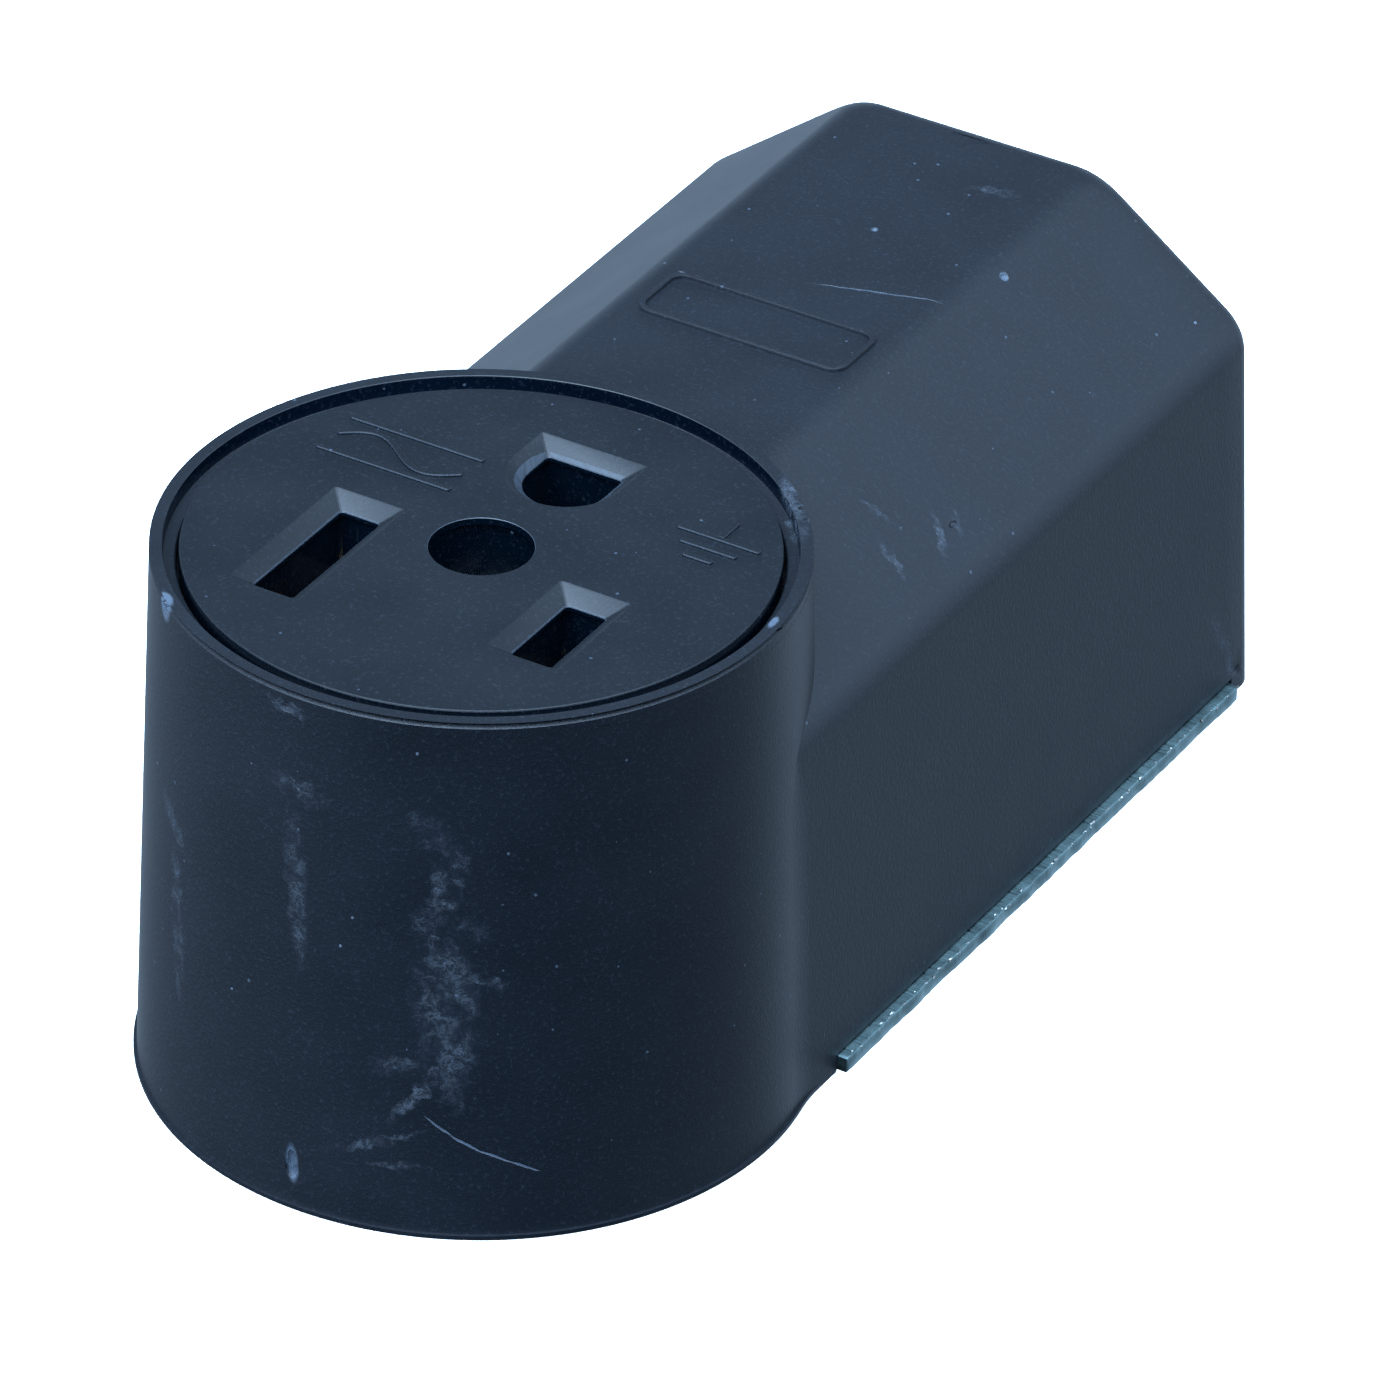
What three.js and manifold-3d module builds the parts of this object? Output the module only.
// Surface-mount 50 A, 250 V, two-pole three-wire power receptacle, opened out into its real pieces.
// Units are millimetres and +Z points away from the wall or floor that the base plate is screwed to.
// The pieces are laid out from the axis of the round receptacle: X to the right, Y towards the end of
// the wiring box. The finished assembly is then shifted along Y, so that the origin is the middle of
// the whole footprint, at the mounting surface.
import * as THREE from 'three';
import { mergeVertices } from 'three/addons/utils/BufferGeometryUtils.js';
import Module from 'manifold-3d';

const wasm = await Module();
wasm.setup();

// ---- Driving dimensions -------------------------------------------------------------------------

const GAP = 0.3; // air left between two pieces that touch
const THROUGH = 1; // how far a cutter runs past the face that it breaks

// Cover: a drafted round shell that runs into a box with two long chamfers.
const RIM_HEIGHT = 54.7;
const RIM_RADIUS = 30.0;
const SKIRT_RADIUS = 31.5;
const LIP_RADIUS = 31.8;
const LIP_HEIGHT = 1.0;
const WALL = 2.7;
const BOX_HALF_BASE = 30.7;
const BOX_HALF_SHOULDER = 29.8;
const SHOULDER_HEIGHT = 40.2;
const ROOF_HALF = 12.8;
const ROOF_HEIGHT = 53.3;
const CHAMFER_SHIFT = 0.42; // corner shift that keeps the chamfer wall as thick as the others
const BOX_END = 94.2;
const END_DRAFT = 0.05; // how far the end wall leans in for each millimetre of height

// Front opening of the cover, from the rim inwards.
const RECESS_RADIUS = 28.8;
const LEDGE_DROP = 1.1;
const FACE_RADIUS = 27.3;
const FACE_DROP = 0.45;
const FACE_THICKNESS = 3.7;
const SHOULDER_RING_RADIUS = 25.0;
const SHOULDER_RING_THICKNESS = 2.7;
const SPIGOT_DEPTH = 4.0;

// Slots of the face: a long and a short straight blade, and a U-shaped ground pin.
const SLOT_X = 12.8;
const SLOT_Y = -7.5;
const SLOT_WIDTH = 4.2;
const LONG_SLOT = 14.8;
const SHORT_SLOT = 9.6;
const GROUND_Y = 14.65;
const GROUND_RADIUS = 4.0;
const GROUND_FLAT = 3.4;
const BEVEL_WIDTH = 1.6;
const BEVEL_DEPTH = 1.2;
const WELL_RADIUS = 4.85; // the deep well that takes the head of the centre screw
const WELL_WALL = 1.35;
const WELL_FLOOR = 42.0;
const WELL_FLOOR_THICKNESS = 1.5;

// Base plate.
const PLATE = 1.6;
const PLATE_HALF = 31.7;
const PLATE_START = 13.9;
const PLATE_END = 89.2;
const TONGUE_RADIUS = 28.4;
const TONGUE_HALF = 27.7;
const REAR_ENTRY_Y = 61.5;
const REAR_ENTRY_RADIUS = 11.5;
const MOUNT_SLOT_RADIUS = 2.6;
const MOUNT_SLOT_RUN = 6;
const MOUNT_SLOTS = [[-21, 57], [21, 57], [0, 81]];
const MOUNT_PAD_RADIUS = 4.8; // a coined pad stands up round each slot for the screw head
const MOUNT_PAD_RISE = 0.5;

// Insulating block that carries the contacts.
const BLOCK_FLOOR = PLATE + GAP;
const FOOT_RADIUS = 28.0;
const FOOT_TOP = 7.0;
const TOWER_RADIUS = 25.4;
const TOWER_HALF = 21.3;
const DECK_TOP = 12.0;
const DECK_END = 41.0;
const BARRIER_HALF = 0.6;
const BARRIER_TOP = 27.0;
const RIVET_X = 24.6;
const POCKET_HALF = 4.5; // half width of the pocket round a line contact
const POCKET_MARGIN = 1.4; // air at the ends of a line contact
const GROUND_POCKET_RADIUS = 6.3;
const SCREW_PASSAGE_RADIUS = 3.2;

// Contacts, their springs and the wire terminals.
const STRIP = 1.2;
const CONTACT_FLOOR = 14.3;
const CONTACT_TOP = 44.2;
const LEAF_PROFILE = [[2.2, 30], [1.1, 38], [2.4, CONTACT_TOP]]; // half opening at each height
const SLEEVE_RADIUS = 3.6; // bore of the ground sleeve
const LONG_JAW = 13.6;
const SHORT_JAW = 8.6;
const SPRING_LOW = 36.5;
const SPRING_HIGH = 40.5;
const SPRING_WALL = 0.7;
const SPRING_HALF = 3.1;
const TAB_HALF = 3.2;
const TAB_END = 38.5;
const LUG_Y = 33.5;
const LUG_LENGTH = 12;
const LUG_WIDTH = 10;
const LUG_TOP = 26.8;
const LUG_WINDOW = [14.0, 22.6]; // floor and ceiling of the wire opening
const LUG_SCREW_RADIUS = 3.15;
const LUG_SCREW_POINT = 1.0; // chamfer at its tip
const LUG_SCREW_ENTRY = 0.7; // how far the tip shows in the open window
const LUG_SCREW_PROUD = 4.7;
const SOCKET_RADIUS = 2.2;
const SOCKET_DEPTH = 4.0;

// Centre screw and the threaded bush that it reaches in the plate.
const SCREW_RADIUS = 2.4;
const SCREW_HEAD = { headRadius: 4.2, headHeight: 2.7, slot: 1.2 };
const BUSH_RADIUS = 4.6;
const BUSH_PILOT = 3.2;
const BUSH_TOP = 9.5;

// Rivets of the block, and the strap and screw that bond the ground terminal to the plate.
const RIVET_RADIUS = 1.7;
const RIVET_HEAD = { headRadius: 2.9, headHeight: 1.4 };
const STRAP_HALF = 3.0;
const STRAP_WALL = 0.8;
const BOND_Y = 46;
const BOND_RADIUS = 1.9;
const BOND_HEAD = { headRadius: 3.5, headHeight: 2.1, slot: 1.1 };

// Cable clamp at the end of the box.
const CLAMP_Y = 81;
const CLAMP_LENGTH = 12;
const CLAMP_WALL = 1.6;
const CLAMP_SCREW_X = 19;
const CLAMP_SCREW_RADIUS = 2.0;
const CLAMP_SCREW_REACH = 2.0; // how far its tip passes below the tapped ledge's top
const CLAMP_HEAD = { headRadius: 3.8, headHeight: 2.4, slot: 1.2 };
const BRACKET_OVERHANG = 4.5;
const CLAMP_REACH = 24;
const EAR_HEIGHT = 21;
const ARCH_RADIUS = 13;
const ARCH_CENTRE = 15;
const TAPPED_LEDGE = 12;
const CABLE_ARCH = 12.5;
const CABLE_ARCH_CENTRE = 13.5;

const FINE = 64; // sides of the large round pieces
const MEDIUM = 24;
const COARSE = 16;

// ---- Finishes -----------------------------------------------------------------------------------

const FINISHES = {
  coverPlastic: { color: 0x2a3442, roughness: 0.55, metalness: 0 },
  facePlastic: { color: 0x28313d, roughness: 0.45, metalness: 0 },
  phenolic: { color: 0x2b2523, roughness: 0.6, metalness: 0 },
  zincSteel: { color: 0x9aa3a8, roughness: 0.4, metalness: 1 },
  copperAlloy: { color: 0xb98a4e, roughness: 0.35, metalness: 1 },
  springSteel: { color: 0x7d8185, roughness: 0.35, metalness: 1 },
  lugAluminium: { color: 0xb9bcbe, roughness: 0.4, metalness: 1 },
};

// ---- Shape helpers ------------------------------------------------------------------------------

/** A closed three.js geometry as a manifold solid. */
function solid(geometry) {
  const bare = geometry.clone();
  bare.deleteAttribute('normal');
  bare.deleteAttribute('uv');
  const merged = mergeVertices(bare, 1e-4);
  return new wasm.Manifold(new wasm.Mesh({
    numProp: 3,
    vertProperties: Float32Array.from(merged.attributes.position.array),
    triVerts: Uint32Array.from(merged.index.array),
  }));
}

/** A box between two opposite corners. */
function block(low, high) {
  const size = high.map((value, axis) => value - low[axis]);
  const middle = high.map((value, axis) => (value + low[axis]) / 2);
  return solid(new THREE.BoxGeometry(...size).translate(...middle));
}

/** An upright round bar at (x, y), from z = low to z = high. */
function rod(radius, low, high, x = 0, y = 0, sides = COARSE) {
  const bar = new THREE.CylinderGeometry(radius, radius, high - low, sides);
  return solid(bar.rotateX(Math.PI / 2).translate(x, y, (low + high) / 2));
}

/** An outline in X and Y, raised from z = low to z = high. */
function raise(shape, low, high, sides = COARSE) {
  const options = { depth: high - low, bevelEnabled: false, curveSegments: sides };
  return solid(new THREE.ExtrudeGeometry(shape, options).translate(0, 0, low));
}

/** An outline in X and Z, run along Y from near to far. */
function runAlongY(shape, near, far, sides = COARSE) {
  const options = { depth: far - near, bevelEnabled: false, curveSegments: sides };
  const geometry = new THREE.ExtrudeGeometry(shape, options);
  const basis = new THREE.Matrix4().makeBasis(
    new THREE.Vector3(1, 0, 0),
    new THREE.Vector3(0, 0, 1),
    new THREE.Vector3(0, -1, 0),
  );
  return solid(geometry.applyMatrix4(basis).translate(0, far, 0));
}

/** A closed outline through straight corners. */
function outline(points) {
  return new THREE.Shape(points.map(([a, b]) => new THREE.Vector2(a, b)));
}

/** A solid turned about Z from a profile of radius and height that starts and ends on the axis. */
function turned(profile, x = 0, y = 0, sides = COARSE) {
  const points = profile.map(([radius, height]) => new THREE.Vector2(radius, height));
  const lathe = new THREE.LatheGeometry(points, sides);
  return solid(lathe.rotateX(Math.PI / 2).translate(x, y, 0));
}

/** All the solids of a list, joined. */
function join(solids) {
  return solids.reduce((whole, piece) => whole.add(piece));
}

// ---- Outlines shared by several pieces ----------------------------------------------------------

/** The blade slot: a rectangle about its own centre. */
function bladeOutline(x, length) {
  return outline([
    [x - SLOT_WIDTH / 2, SLOT_Y - length / 2],
    [x + SLOT_WIDTH / 2, SLOT_Y - length / 2],
    [x + SLOT_WIDTH / 2, SLOT_Y + length / 2],
    [x - SLOT_WIDTH / 2, SLOT_Y + length / 2],
  ]);
}

/** The ground slot: flat on the side of the box, round on the side of the centre screw. */
function groundOutline() {
  const shape = new THREE.Shape();
  shape.moveTo(GROUND_RADIUS, GROUND_Y + GROUND_FLAT);
  shape.lineTo(-GROUND_RADIUS, GROUND_Y + GROUND_FLAT);
  shape.lineTo(-GROUND_RADIUS, GROUND_Y);
  shape.absarc(0, GROUND_Y, GROUND_RADIUS, Math.PI, 2 * Math.PI);
  return shape;
}

/** A mounting slot or its pad: round ends, along Y about its own centre. */
function slotOutline(x, y, radius) {
  const shape = new THREE.Shape();
  const half = MOUNT_SLOT_RUN / 2;
  shape.absarc(x, y + half, radius, 0, Math.PI);
  shape.absarc(x, y - half, radius, Math.PI, 2 * Math.PI);
  return shape;
}

/** The cross-section of the wiring box, drawn in by a wall thickness and open below by drop. */
function boxSection(inset, drop) {
  const chamferInset = inset * CHAMFER_SHIFT;
  return outline([
    [-BOX_HALF_BASE + inset, -drop],
    [BOX_HALF_BASE - inset, -drop],
    [BOX_HALF_SHOULDER - inset, SHOULDER_HEIGHT - chamferInset],
    [ROOF_HALF - chamferInset, ROOF_HEIGHT - inset],
    [-ROOF_HALF + chamferInset, ROOF_HEIGHT - inset],
    [-BOX_HALF_SHOULDER + inset, SHOULDER_HEIGHT - chamferInset],
  ]);
}

/** The wiring box as one body, its end wall leaning in, drawn in by inset. */
function wiringBox(inset, drop) {
  const body = runAlongY(boxSection(inset, drop), 0, BOX_END - inset);
  const lean = Math.atan(END_DRAFT);
  const trimmer = new THREE.BoxGeometry(4 * BOX_HALF_BASE, BOX_END, 4 * ROOF_HEIGHT);
  trimmer.translate(0, BOX_END / 2, 0).rotateX(lean).translate(0, BOX_END - inset, 0);
  return body.subtract(solid(trimmer));
}

// ---- Moulded pieces -----------------------------------------------------------------------------

function makeCover() {
  const slope = (SKIRT_RADIUS - RIM_RADIUS) / RIM_HEIGHT;
  const round = turned([
    [0, 0],
    [LIP_RADIUS, 0],
    [LIP_RADIUS, LIP_HEIGHT],
    [SKIRT_RADIUS - slope * LIP_HEIGHT, LIP_HEIGHT],
    [RIM_RADIUS, RIM_HEIGHT - GAP],
    [RIM_RADIUS - GAP, RIM_HEIGHT],
    [0, RIM_HEIGHT],
  ], 0, 0, FINE);

  const faceSeat = RIM_HEIGHT - FACE_DROP - FACE_THICKNESS - GAP;
  const ceiling = faceSeat - SHOULDER_RING_THICKNESS;
  const roundHollow = turned([
    [0, -THROUGH],
    [SKIRT_RADIUS - WALL, -THROUGH],
    [SKIRT_RADIUS - WALL - slope * ceiling, ceiling],
    [0, ceiling],
  ], 0, 0, FINE);
  const frontWall = rod(RIM_RADIUS + GAP, ceiling, RIM_HEIGHT + THROUGH, 0, 0, FINE);
  const boxHollow = wiringBox(WALL, THROUGH).subtract(frontWall);

  const front = join([
    rod(SHOULDER_RING_RADIUS, ceiling - THROUGH, RIM_HEIGHT + THROUGH, 0, 0, FINE),
    rod(FACE_RADIUS + GAP, faceSeat, RIM_HEIGHT + THROUGH, 0, 0, FINE),
    rod(RECESS_RADIUS, RIM_HEIGHT - LEDGE_DROP, RIM_HEIGHT + THROUGH, 0, 0, FINE),
  ]);
  const plateRelief = block(
    [-SKIRT_RADIUS - THROUGH, PLATE_START - GAP, -THROUGH],
    [SKIRT_RADIUS + THROUGH, PLATE_END + GAP, PLATE + GAP],
  );

  const arch = new THREE.Shape();
  arch.moveTo(-CABLE_ARCH, -THROUGH);
  arch.lineTo(CABLE_ARCH, -THROUGH);
  arch.absarc(0, CABLE_ARCH_CENTRE, CABLE_ARCH, 0, Math.PI);
  const cableEntry = runAlongY(arch, PLATE_END, BOX_END + THROUGH);

  return round.add(wiringBox(0, 0))
    .subtract(join([roundHollow, boxHollow, front]))
    .subtract(join([plateRelief, cableEntry]));
}

/** A slot cut through the face, with a bevelled mouth. */
function mouth(shape, low, high) {
  const options = {
    depth: THROUGH,
    bevelSize: BEVEL_WIDTH,
    bevelThickness: BEVEL_DEPTH,
    bevelSegments: 1,
    curveSegments: COARSE,
  };
  const flare = solid(new THREE.ExtrudeGeometry(shape, options).translate(0, 0, high));
  return raise(shape, low, high).add(flare);
}

function makeFace() {
  const top = RIM_HEIGHT - FACE_DROP;
  const under = top - FACE_THICKNESS;
  const bottom = under - SPIGOT_DEPTH;
  const spigot = rod(SHOULDER_RING_RADIUS - GAP, bottom, under, 0, 0, FINE);
  const disc = rod(FACE_RADIUS, under, top, 0, 0, FINE);
  const cuts = join([
    mouth(bladeOutline(-SLOT_X, LONG_SLOT), bottom - THROUGH, top),
    mouth(bladeOutline(SLOT_X, SHORT_SLOT), bottom - THROUGH, top),
    mouth(groundOutline(), bottom - THROUGH, top),
    rod(WELL_RADIUS, WELL_FLOOR, top + THROUGH, 0, 0, MEDIUM),
    rod(SCREW_RADIUS + 2 * GAP, WELL_FLOOR - 2 * WELL_FLOOR_THICKNESS, top, 0, 0, MEDIUM),
  ]);
  const well = rod(WELL_RADIUS + WELL_WALL, WELL_FLOOR - WELL_FLOOR_THICKNESS, top, 0, 0, MEDIUM);
  return join([disc, spigot, well]).subtract(cuts);
}

function makeContactBlock() {
  const top = RIM_HEIGHT - FACE_DROP - FACE_THICKNESS - SPIGOT_DEPTH - GAP;
  const floor = CONTACT_FLOOR - GAP;
  const tower = rod(TOWER_RADIUS, BLOCK_FLOOR, top, 0, 0, FINE).intersect(
    block([-TOWER_HALF, -TOWER_RADIUS, 0], [TOWER_HALF, TOWER_RADIUS, RIM_HEIGHT]),
  );
  const bodies = [
    tower,
    rod(FOOT_RADIUS, BLOCK_FLOOR, FOOT_TOP, 0, 0, FINE),
    block([-TOWER_HALF, 0, BLOCK_FLOOR], [TOWER_HALF, DECK_END, DECK_TOP]),
  ];
  const barrierX = SLOT_X / 2;
  for (const side of [-1, 1]) {
    bodies.push(block(
      [side * barrierX - BARRIER_HALF, GROUND_Y, DECK_TOP - THROUGH],
      [side * barrierX + BARRIER_HALF, DECK_END, BARRIER_TOP],
    ));
  }

  const cuts = [];
  for (const [x, jaw] of [[-SLOT_X, LONG_JAW], [SLOT_X, SHORT_JAW]]) {
    cuts.push(block(
      [x - POCKET_HALF, SLOT_Y - jaw / 2 - POCKET_MARGIN, floor],
      [x + POCKET_HALF, SLOT_Y + jaw / 2 + POCKET_MARGIN, top + THROUGH],
    ));
    cuts.push(block(
      [x - TAB_HALF - GAP, SLOT_Y, floor],
      [x + TAB_HALF + GAP, DECK_END, CONTACT_FLOOR + STRIP + GAP],
    ));
  }
  cuts.push(rod(GROUND_POCKET_RADIUS, floor, top + THROUGH, 0, GROUND_Y, MEDIUM));
  cuts.push(block(
    [-TAB_HALF - GAP, GROUND_Y, floor],
    [TAB_HALF + GAP, DECK_END + THROUGH, CONTACT_FLOOR + STRIP + GAP],
  ));
  cuts.push(rod(SCREW_PASSAGE_RADIUS, 0, top + THROUGH));
  cuts.push(rod(
    WELL_RADIUS + WELL_WALL + GAP,
    WELL_FLOOR - WELL_FLOOR_THICKNESS - GAP,
    top + THROUGH,
    0,
    0,
    MEDIUM,
  ));
  cuts.push(rod(BUSH_RADIUS + GAP, 0, BUSH_TOP + GAP));
  for (const side of [-1, 1]) {
    cuts.push(rod(RIVET_RADIUS + GAP, 0, FOOT_TOP + THROUGH, side * RIVET_X, 0));
  }
  cuts.push(block(
    [-STRAP_HALF - GAP, LUG_Y - LUG_LENGTH / 2, DECK_TOP - STRAP_WALL - 2 * GAP],
    [STRAP_HALF + GAP, DECK_END + THROUGH, DECK_TOP + GAP],
  ));
  return join(bodies).subtract(join(cuts));
}

// ---- Base plate ---------------------------------------------------------------------------------

function makeBasePlate() {
  const sheet = join([
    rod(TONGUE_RADIUS, 0, PLATE, 0, 0, FINE),
    block([-TONGUE_HALF, 0, 0], [TONGUE_HALF, PLATE_START + THROUGH, PLATE]),
    block([-PLATE_HALF, PLATE_START, 0], [PLATE_HALF, PLATE_END, PLATE]),
  ]);
  const brackets = [-1, 1].map((side) => {
    const inner = side * (CLAMP_SCREW_X - BRACKET_OVERHANG);
    const outer = side * (CLAMP_REACH + 1);
    const leg = side * (CLAMP_REACH + 1 - CLAMP_WALL);
    const section = [
      [outer, 0],
      [outer, TAPPED_LEDGE],
      [inner, TAPPED_LEDGE],
      [inner, TAPPED_LEDGE - CLAMP_WALL],
      [leg, TAPPED_LEDGE - CLAMP_WALL],
      [leg, 0],
    ];
    const ordered = side > 0 ? section : section.reverse();
    return runAlongY(outline(ordered), CLAMP_Y - CLAMP_LENGTH / 2, CLAMP_Y + CLAMP_LENGTH / 2);
  });

  const cuts = [
    rod(BUSH_PILOT + GAP, -THROUGH, PLATE + THROUGH, 0, 0, MEDIUM),
    rod(REAR_ENTRY_RADIUS, -THROUGH, PLATE + THROUGH, 0, REAR_ENTRY_Y, MEDIUM),
    rod(BOND_RADIUS + GAP, -THROUGH, PLATE + THROUGH, 0, BOND_Y),
  ];
  for (const side of [-1, 1]) {
    cuts.push(rod(RIVET_RADIUS + GAP, -THROUGH, PLATE + THROUGH, side * RIVET_X, 0));
    cuts.push(rod(CLAMP_SCREW_RADIUS + GAP, PLATE + THROUGH, EAR_HEIGHT, side * CLAMP_SCREW_X, CLAMP_Y));
  }
  const pads = [];
  for (const [x, y] of MOUNT_SLOTS) {
    pads.push(raise(slotOutline(x, y, MOUNT_PAD_RADIUS), PLATE / 2, PLATE + MOUNT_PAD_RISE));
    cuts.push(raise(slotOutline(x, y, MOUNT_SLOT_RADIUS), -THROUGH, PLATE + THROUGH));
  }
  return join([sheet, ...brackets, ...pads]).subtract(join(cuts));
}

/** Threaded bush clinched into the plate on the receptacle axis. */
function makePlateBush() {
  return turned([
    [0, GAP],
    [BUSH_PILOT, GAP],
    [BUSH_PILOT, BLOCK_FLOOR],
    [BUSH_RADIUS, BLOCK_FLOOR],
    [BUSH_RADIUS, BUSH_TOP],
    [0, BUSH_TOP],
  ]).subtract(rod(SCREW_RADIUS + GAP, 0, BUSH_TOP + THROUGH));
}

// ---- Contacts, springs and terminals ------------------------------------------------------------

/** A folded strip: two leaves that pinch the blade, a floor, and a tab that runs to the terminal. */
function makeLineContact(x, jaw) {
  const outside = LEAF_PROFILE.map(([half, height]) => [half + STRIP, height]);
  const floorTop = CONTACT_FLOOR + STRIP;
  const rightInside = [[LEAF_PROFILE[0][0], floorTop], ...LEAF_PROFILE];
  const rightOutside = [[outside[0][0], CONTACT_FLOOR], ...outside].reverse();
  const right = [...rightInside, ...rightOutside];
  const left = right.map(([half, height]) => [-half, height]).reverse();
  const section = outline([...right, ...left]);
  const leaves = runAlongY(section, SLOT_Y - jaw / 2, SLOT_Y + jaw / 2);
  const tab = block([-TAB_HALF, SLOT_Y, CONTACT_FLOOR], [TAB_HALF, TAB_END, floorTop]);
  return leaves.add(tab).translate([x, 0, 0]);
}

/** A split sleeve for the round ground pin, with its floor and tab. */
function makeGroundContact() {
  const bottom = CONTACT_FLOOR + STRIP;
  const sleeve = rod(SLEEVE_RADIUS + STRIP, CONTACT_FLOOR, CONTACT_TOP, 0, GROUND_Y, MEDIUM);
  const bore = rod(SLEEVE_RADIUS, bottom, CONTACT_TOP + THROUGH, 0, GROUND_Y, MEDIUM);
  const slit = block(
    [-STRIP, GROUND_Y - 2 * SLEEVE_RADIUS, bottom + STRIP],
    [STRIP, GROUND_Y, CONTACT_TOP + THROUGH],
  );
  const tab = block([-TAB_HALF, GROUND_Y, CONTACT_FLOOR], [TAB_HALF, TAB_END, bottom]);
  return sleeve.add(tab).subtract(bore).subtract(slit);
}

/** A steel band that squeezes the two leaves of a line contact together. */
function makeLineSpring(x, jaw) {
  const halfY = jaw / 2 + GAP;
  const band = block(
    [x - SPRING_HALF - SPRING_WALL, SLOT_Y - halfY - SPRING_WALL, SPRING_LOW],
    [x + SPRING_HALF + SPRING_WALL, SLOT_Y + halfY + SPRING_WALL, SPRING_HIGH],
  );
  return band.subtract(block(
    [x - SPRING_HALF, SLOT_Y - halfY, SPRING_LOW - THROUGH],
    [x + SPRING_HALF, SLOT_Y + halfY, SPRING_HIGH + THROUGH],
  ));
}

/** The round band about the ground sleeve. */
function makeGroundSpring() {
  const inner = SLEEVE_RADIUS + STRIP + GAP;
  const band = rod(inner + SPRING_WALL, SPRING_LOW, SPRING_HIGH, 0, GROUND_Y, MEDIUM);
  return band.subtract(rod(inner, SPRING_LOW - THROUGH, SPRING_HIGH + THROUGH, 0, GROUND_Y, MEDIUM));
}

/** A pressure terminal: a block with a wire window along Y and a tapped hole from above. */
function makeLug(x) {
  const [floor, ceiling] = LUG_WINDOW;
  const windowHalf = TAB_HALF + GAP;
  const body = block(
    [x - LUG_WIDTH / 2, LUG_Y - LUG_LENGTH / 2, DECK_TOP + GAP],
    [x + LUG_WIDTH / 2, LUG_Y + LUG_LENGTH / 2, LUG_TOP],
  );
  const wireWindow = block(
    [x - windowHalf, LUG_Y - LUG_LENGTH, floor],
    [x + windowHalf, LUG_Y + LUG_LENGTH, ceiling],
  );
  return body.subtract(wireWindow)
    .subtract(rod(LUG_SCREW_RADIUS + GAP, ceiling - THROUGH, LUG_TOP + THROUGH, x, LUG_Y));
}

/** The set screw of a terminal, with a hexagon socket. */
function makeLugScrew(x) {
  const tip = LUG_WINDOW[1] - LUG_SCREW_ENTRY;
  const top = LUG_TOP + LUG_SCREW_PROUD;
  const socket = rod(SOCKET_RADIUS, top - SOCKET_DEPTH, top + THROUGH, x, LUG_Y, 6);
  return turned([
    [0, tip],
    [LUG_SCREW_RADIUS - LUG_SCREW_POINT, tip],
    [LUG_SCREW_RADIUS, tip + LUG_SCREW_POINT],
    [LUG_SCREW_RADIUS, top],
    [0, top],
  ], x, LUG_Y).subtract(socket);
}

/** The strip that bonds the ground terminal to the plate: along the deck, down its end, and a foot. */
function makeBondStrap() {
  const top = DECK_TOP - GAP;
  const near = DECK_END + GAP;
  const far = near + STRAP_WALL;
  const start = LUG_Y - LUG_LENGTH / 2 + GAP;
  const tongue = block([-STRAP_HALF, start, top - STRAP_WALL], [STRAP_HALF, far, top]);
  const leg = block([-STRAP_HALF, near, BLOCK_FLOOR], [STRAP_HALF, far, top]);
  const foot = block(
    [-STRAP_HALF, near, BLOCK_FLOOR],
    [STRAP_HALF, BOND_Y + STRAP_HALF, BLOCK_FLOOR + STRAP_WALL],
  );
  return join([tongue, leg, foot]).subtract(rod(BOND_RADIUS + GAP, 0, PLATE + 2 * STRAP_WALL, 0, BOND_Y));
}

// ---- Fasteners ----------------------------------------------------------------------------------

/** A headed screw or rivet, its head resting at seat, with an optional driving slot. */
function fastener({ x = 0, y = 0, radius, tip, seat, headRadius, headHeight, slot = 0 }) {
  const top = seat + headHeight;
  const body = turned([
    [0, tip],
    [radius, tip],
    [radius, seat],
    [headRadius, seat],
    [headRadius, top - headHeight / 3],
    [headRadius - headHeight / 3, top],
    [0, top],
  ], x, y, MEDIUM);
  if (!slot) {
    return body;
  }
  return body.subtract(block(
    [x - slot / 2, y - 2 * headRadius, top - headHeight / 2],
    [x + slot / 2, y + 2 * headRadius, top + THROUGH],
  ));
}

function makeCoverScrew() {
  return fastener({
    radius: SCREW_RADIUS,
    tip: PLATE,
    seat: WELL_FLOOR + GAP,
    ...SCREW_HEAD,
  });
}

function makeRivet(side) {
  return fastener({
    x: side * RIVET_X,
    radius: RIVET_RADIUS,
    tip: GAP,
    seat: FOOT_TOP + GAP,
    ...RIVET_HEAD,
  });
}

function makeBondScrew() {
  return fastener({
    y: BOND_Y,
    radius: BOND_RADIUS,
    tip: GAP,
    seat: BLOCK_FLOOR + STRAP_WALL + GAP,
    ...BOND_HEAD,
  });
}

function makeClampScrew(side) {
  return fastener({
    x: side * CLAMP_SCREW_X,
    y: CLAMP_Y,
    radius: CLAMP_SCREW_RADIUS,
    tip: TAPPED_LEDGE - CLAMP_SCREW_REACH,
    seat: EAR_HEIGHT + CLAMP_WALL + GAP,
    ...CLAMP_HEAD,
  });
}

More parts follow.
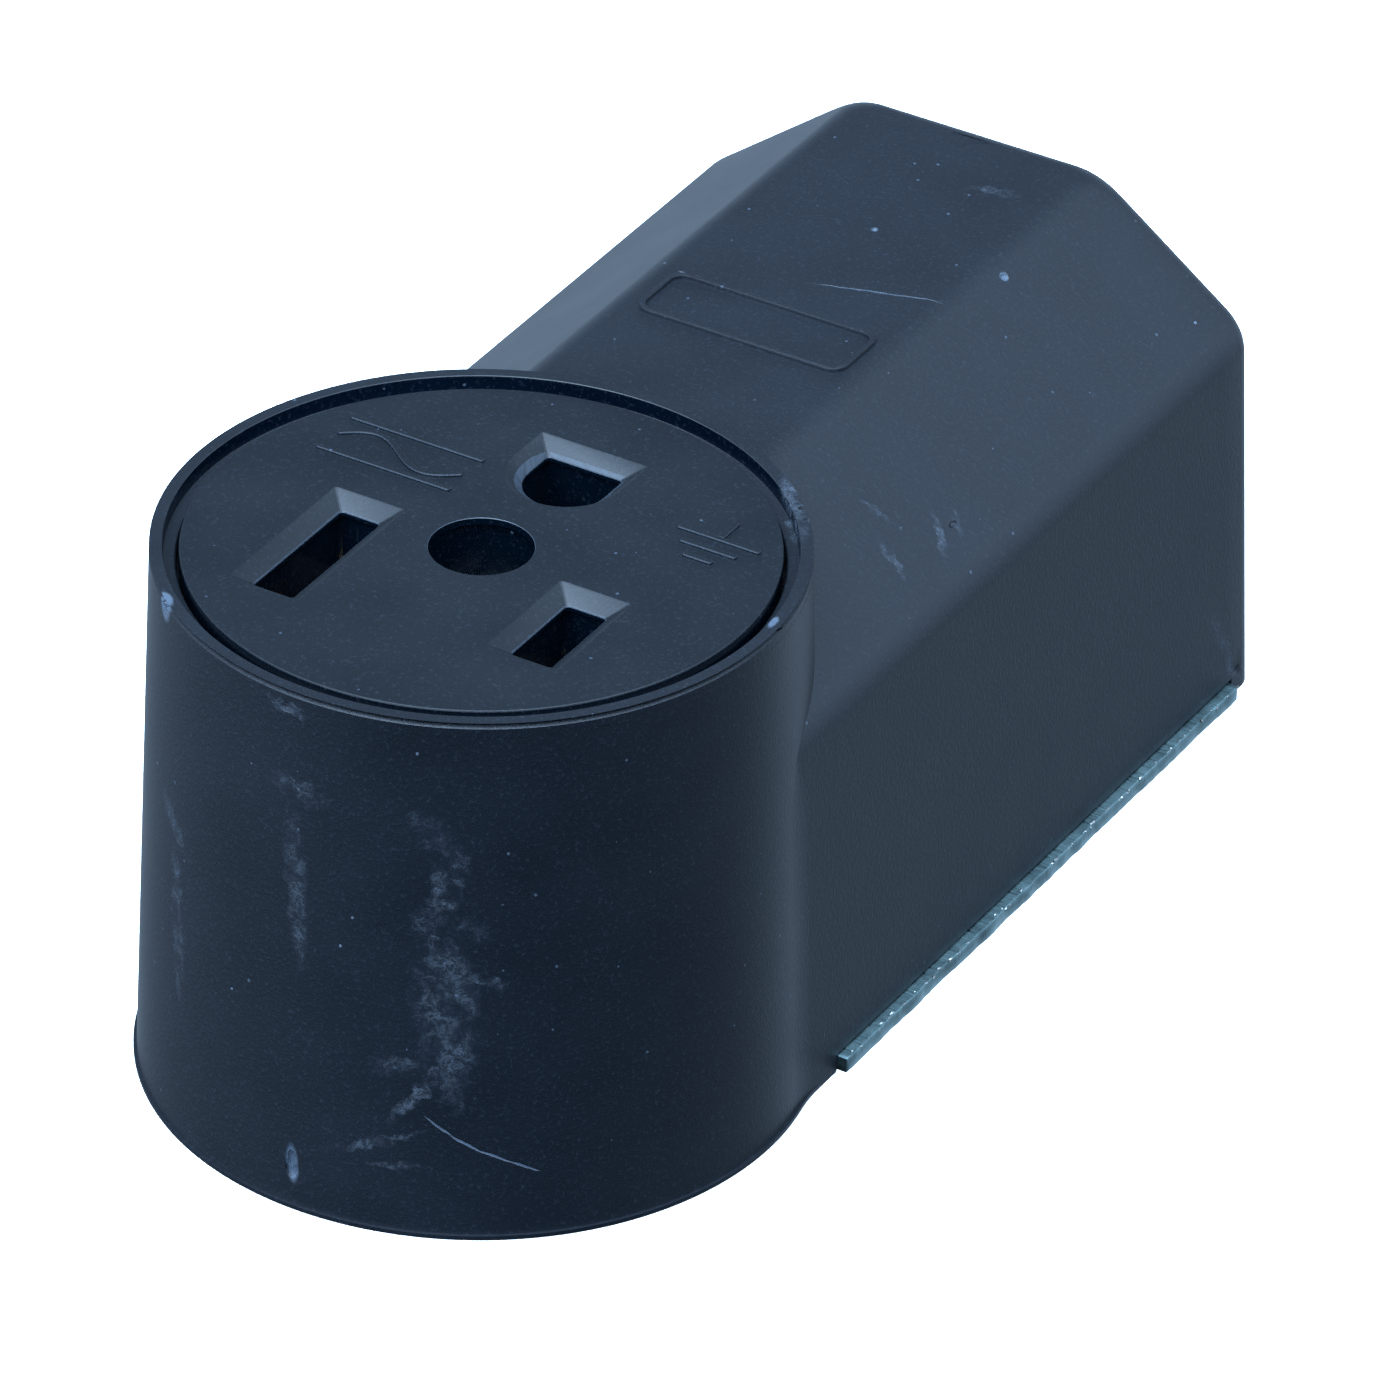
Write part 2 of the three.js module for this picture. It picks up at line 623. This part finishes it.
/** The clamp strap: an arch over the cable, with an ear on each side. */
function makeCableClamp() {
  const outer = ARCH_RADIUS + CLAMP_WALL;
  const innerStart = Math.asin((EAR_HEIGHT - ARCH_CENTRE) / ARCH_RADIUS);
  const outerStart = Math.asin((EAR_HEIGHT + CLAMP_WALL - ARCH_CENTRE) / outer);
  const shape = new THREE.Shape();
  shape.moveTo(-CLAMP_REACH, EAR_HEIGHT);
  shape.absarc(0, ARCH_CENTRE, ARCH_RADIUS, Math.PI - innerStart, innerStart, true);
  shape.lineTo(CLAMP_REACH, EAR_HEIGHT);
  shape.lineTo(CLAMP_REACH, EAR_HEIGHT + CLAMP_WALL);
  shape.absarc(0, ARCH_CENTRE, outer, outerStart, Math.PI - outerStart);
  shape.lineTo(-CLAMP_REACH, EAR_HEIGHT + CLAMP_WALL);
  const strap = runAlongY(shape, CLAMP_Y - CLAMP_LENGTH / 2, CLAMP_Y + CLAMP_LENGTH / 2);
  const holes = [-1, 1].map((side) => rod(
    CLAMP_SCREW_RADIUS + 2 * GAP,
    EAR_HEIGHT - THROUGH,
    EAR_HEIGHT + CLAMP_WALL + THROUGH,
    side * CLAMP_SCREW_X,
    CLAMP_Y,
  ));
  return strap.subtract(join(holes));
}

// ---- Scene graph --------------------------------------------------------------------------------

const receptacle = new THREE.Group();
receptacle.name = 'surface_receptacle';
receptacle.position.y = (LIP_RADIUS - BOX_END) / 2;

/** Adds a solid to the assembly as a named mesh with a finish. */
function place(name, finish, body) {
  const { vertProperties, triVerts } = body.getMesh();
  const geometry = new THREE.BufferGeometry();
  geometry.setAttribute('position', new THREE.BufferAttribute(vertProperties, 3));
  geometry.setIndex(new THREE.BufferAttribute(triVerts, 1));
  geometry.computeVertexNormals();
  const mesh = new THREE.Mesh(geometry, new THREE.MeshStandardMaterial(FINISHES[finish]));
  mesh.name = name;
  receptacle.add(mesh);
}

place('cover', 'coverPlastic', makeCover());
place('receptacle_face', 'facePlastic', makeFace());
place('contact_block', 'phenolic', makeContactBlock());
place('base_plate', 'zincSteel', makeBasePlate());
place('plate_bush', 'zincSteel', makePlateBush());
place('cover_screw', 'zincSteel', makeCoverScrew());

place('contact_long', 'copperAlloy', makeLineContact(-SLOT_X, LONG_JAW));
place('contact_short', 'copperAlloy', makeLineContact(SLOT_X, SHORT_JAW));
place('contact_ground', 'copperAlloy', makeGroundContact());
place('spring_long', 'springSteel', makeLineSpring(-SLOT_X, LONG_JAW));
place('spring_short', 'springSteel', makeLineSpring(SLOT_X, SHORT_JAW));
place('spring_ground', 'springSteel', makeGroundSpring());

for (const [name, x] of [['long', -SLOT_X], ['short', SLOT_X], ['ground', 0]]) {
  place(`lug_${name}`, 'lugAluminium', makeLug(x));
  place(`lug_screw_${name}`, 'zincSteel', makeLugScrew(x));
}

place('bond_strap', 'zincSteel', makeBondStrap());
place('bond_screw', 'zincSteel', makeBondScrew());
place('cable_clamp', 'zincSteel', makeCableClamp());
for (const [name, side] of [['left', -1], ['right', 1]]) {
  place(`block_rivet_${name}`, 'zincSteel', makeRivet(side));
  place(`clamp_screw_${name}`, 'zincSteel', makeClampScrew(side));
}

export default receptacle;
